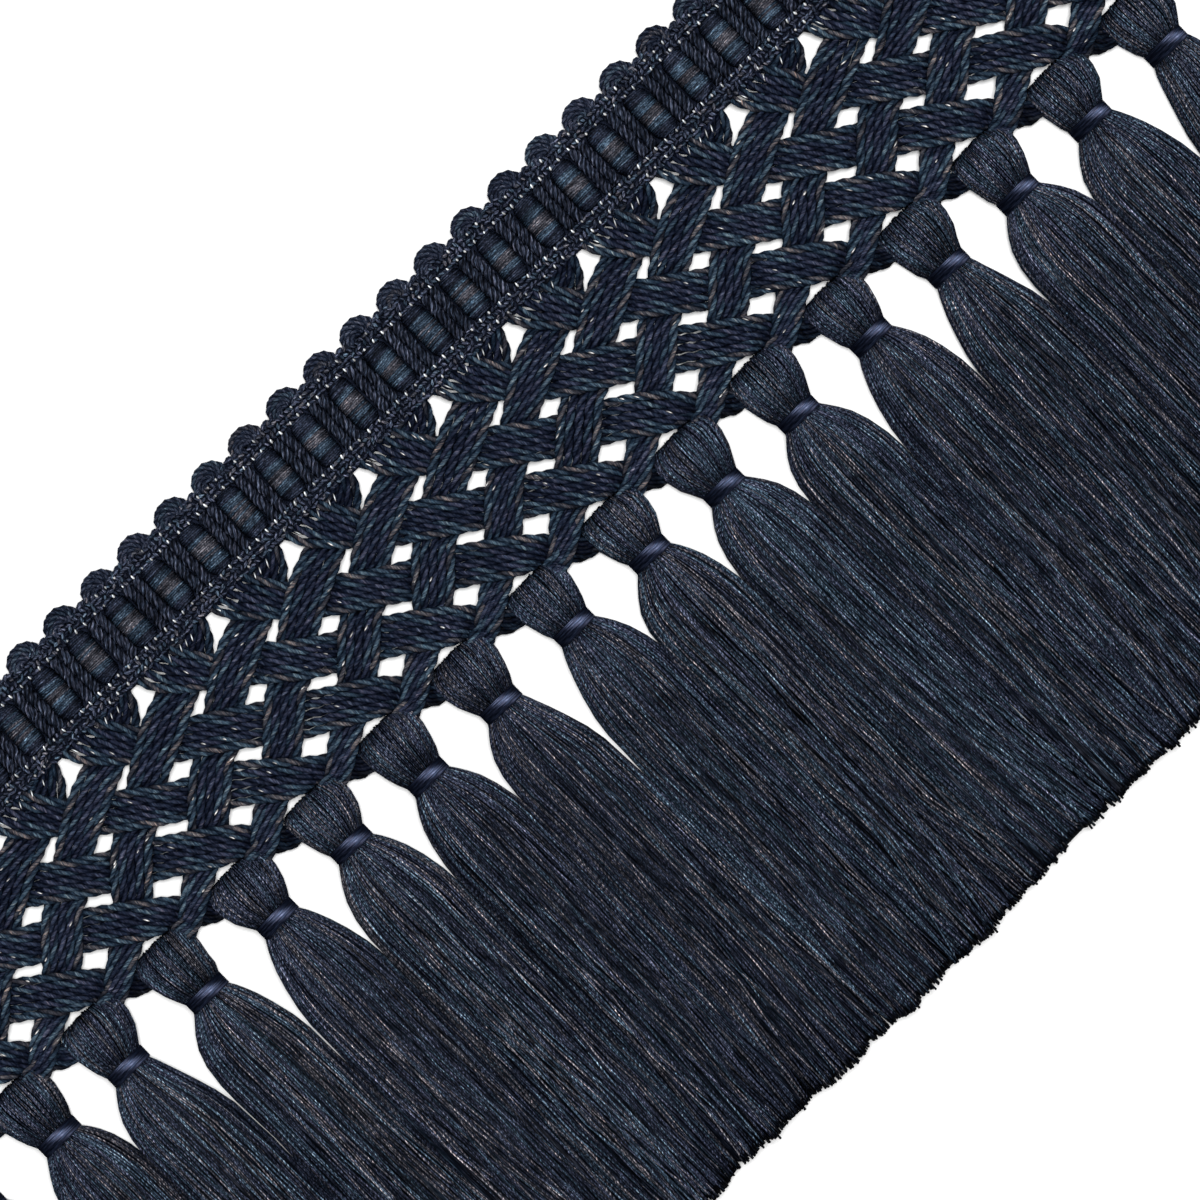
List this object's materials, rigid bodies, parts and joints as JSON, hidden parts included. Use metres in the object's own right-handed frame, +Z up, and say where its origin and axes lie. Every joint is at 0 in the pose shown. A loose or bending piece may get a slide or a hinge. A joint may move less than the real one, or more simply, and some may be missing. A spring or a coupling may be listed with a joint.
{
  "type": "tassel fringe trim",
  "caption": "Length of furnishing trim: a scalloped woven heading, an open netting of crossed plied cords, and a close row of tied yarn tassels.",
  "frame": {"origin": "middle of the trim's underside, on the surface that it lies on", "axes": "+X along the trim, +Y from the tassels' cut ends to the scalloped edge, +Z up from the surface to the face side"},
  "size_m": [0.36, 0.171, 0.0066],
  "materials": {
    "woven_heading": "matte twisted yarn, navy with teal and taupe",
    "net_cords": "plied cord with a low sheen, navy, teal and taupe",
    "tassel_yarn": "fine spun yarn with a soft sheen, navy, teal and taupe",
    "tie_thread": "satin wound thread, deep navy"
  },
  "bodies": {
    "root": {"heading": "woven_heading", "netting": "net_cords", "tassel_01": "tassel_yarn", "tassel_02": "tassel_yarn", "tassel_03": "tassel_yarn", "tassel_04": "tassel_yarn", "tassel_05": "tassel_yarn", "tassel_06": "tassel_yarn", "tassel_07": "tassel_yarn", "tassel_08": "tassel_yarn", "tassel_09": "tassel_yarn", "tassel_10": "tassel_yarn", "tassel_11": "tassel_yarn", "tassel_12": "tassel_yarn", "tassel_13": "tassel_yarn", "tassel_14": "tassel_yarn", "tassel_15": "tassel_yarn", "tassel_16": "tassel_yarn", "tassel_17": "tassel_yarn", "tassel_18": "tassel_yarn", "tie_01": "tie_thread", "tie_02": "tie_thread", "tie_03": "tie_thread", "tie_04": "tie_thread", "tie_05": "tie_thread", "tie_06": "tie_thread", "tie_07": "tie_thread", "tie_08": "tie_thread", "tie_09": "tie_thread", "tie_10": "tie_thread", "tie_11": "tie_thread", "tie_12": "tie_thread", "tie_13": "tie_thread", "tie_14": "tie_thread", "tie_15": "tie_thread", "tie_16": "tie_thread", "tie_17": "tie_thread", "tie_18": "tie_thread"}
  },
  "joints": []
}
